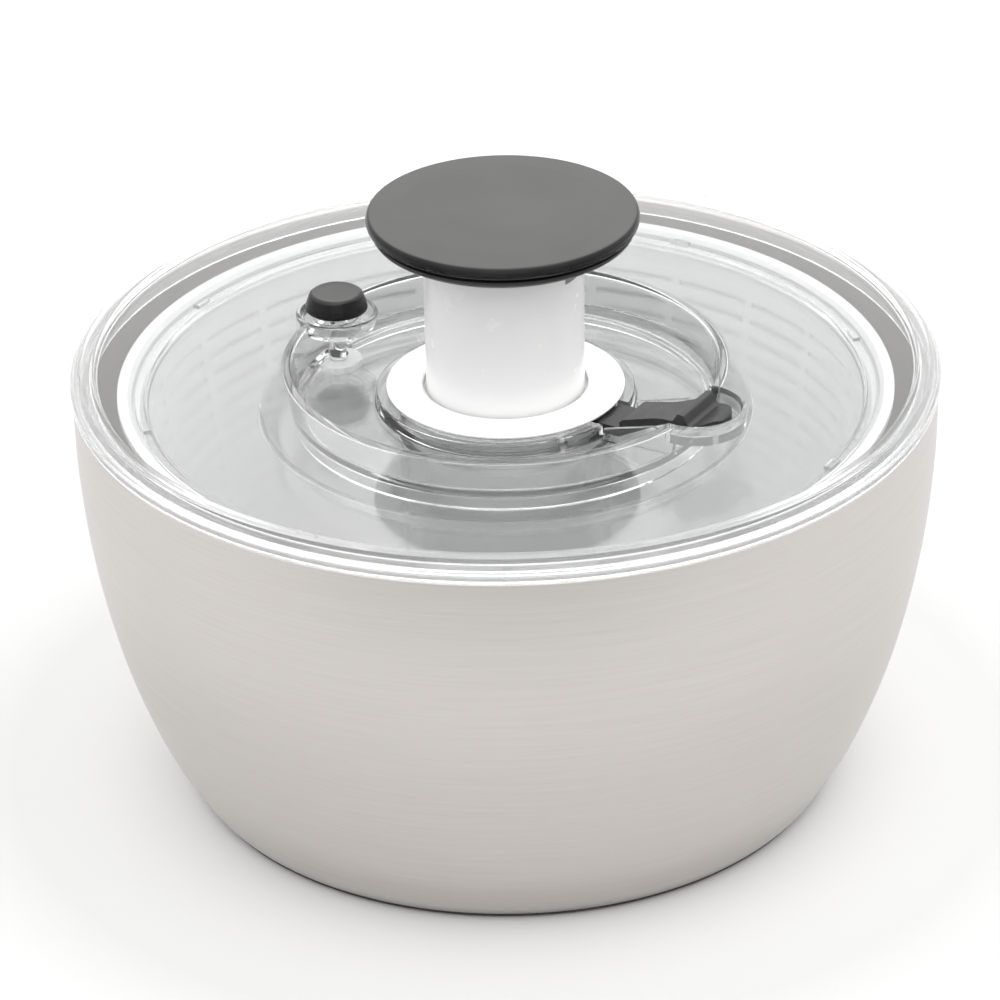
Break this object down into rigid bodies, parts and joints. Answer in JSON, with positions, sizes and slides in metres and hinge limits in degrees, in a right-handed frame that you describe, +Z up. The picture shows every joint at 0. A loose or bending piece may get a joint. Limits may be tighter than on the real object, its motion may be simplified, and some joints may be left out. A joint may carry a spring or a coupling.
{
  "type": "salad spinner",
  "caption": "Steel-bowl salad spinner with a slotted basket, clear lid, pump knob, brake button and knob lock.",
  "frame": {"origin": "middle of the foot ring, on the surface the spinner stands on", "axes": "+Z up along the spinning axis, +X towards the lock lever, -X towards the brake button"},
  "size_m": [0.2682, 0.2682, 0.19],
  "materials": {
    "bowl_steel": "brushed",
    "hardware_steel": "bright",
    "bearing_brass": "machined",
    "clear_plastic": "clear gloss",
    "frosted_plastic": "frosted",
    "white_plastic": "gloss",
    "charcoal_plastic": "satin",
    "black_grip": "soft satin",
    "foot_rubber": "matt"
  },
  "bodies": {
    "bowl": {"bowl": "bowl_steel", "foot_ring": "foot_rubber", "basket_pin": "hardware_steel"},
    "basket": {"basket": "frosted_plastic"},
    "lid": {"lid_cover": "clear_plastic", "mechanism_housing": "frosted_plastic", "housing_screw_1": "hardware_steel", "housing_screw_2": "hardware_steel", "housing_screw_3": "hardware_steel", "collar": "white_plastic", "thrust_washer": "bearing_brass", "shaft_bush": "bearing_brass", "button_spring": "hardware_steel", "return_spring": "hardware_steel"},
    "plunger": {"plunger_tube": "white_plastic", "drive_nut": "white_plastic", "nut_screw": "hardware_steel", "knob_base": "charcoal_plastic", "knob_cap": "black_grip"},
    "shaft": {"drive_shaft": "hardware_steel", "clutch_driver": "white_plastic", "shaft_washer": "hardware_steel", "shaft_screw": "hardware_steel"},
    "turntable": {"turntable": "clear_plastic", "ratchet_ring": "white_plastic", "hub_cap": "white_plastic"},
    "brake": {"brake_button": "black_grip", "brake_stem": "clear_plastic", "brake_pad": "foot_rubber"},
    "lock": {"lock_lever": "charcoal_plastic"}
  },
  "joints": [
    {"name": "lid_lift", "type": "slide", "parent": "bowl", "child": "lid", "axis": [0, 0, 1], "range_m": [0, 0.1]},
    {"name": "basket_spin", "type": "hinge", "parent": "bowl", "child": "basket", "pos_m": [0, 0, 0.01], "axis": [0, 0, 1], "continuous": true},
    {"name": "turntable_spin", "type": "hinge", "parent": "lid", "child": "turntable", "pos_m": [0, 0, 0.06], "axis": [0, 0, 1], "continuous": true},
    {"name": "plunger_press", "type": "slide", "parent": "lid", "child": "plunger", "axis": [0, 0, -1], "range_m": [0, 0.046], "stiffness_N_per_m": 150, "springref_m": -0.03, "deforming": ["return_spring"]},
    {"name": "shaft_spin", "type": "hinge", "parent": "lid", "child": "shaft", "pos_m": [0, 0, 0.07], "axis": [0, 0, 1], "range_deg": [0, 518]},
    {"name": "brake_press", "type": "slide", "parent": "lid", "child": "brake", "axis": [0, 0, -1], "range_m": [0, 0.0046], "stiffness_N_per_m": 900, "springref_m": -0.004, "deforming": ["button_spring"]},
    {"name": "lock_slide", "type": "slide", "parent": "lid", "child": "lock", "axis": [-1, 0, 0], "range_m": [0, 0.006]}
  ],
  "couplings": [
    {"joint": "turntable_spin", "follows": "basket_spin", "ratio": 1},
    {"joint": "shaft_spin", "follows": "plunger_press", "rad_per_m": 196.35}
  ]
}
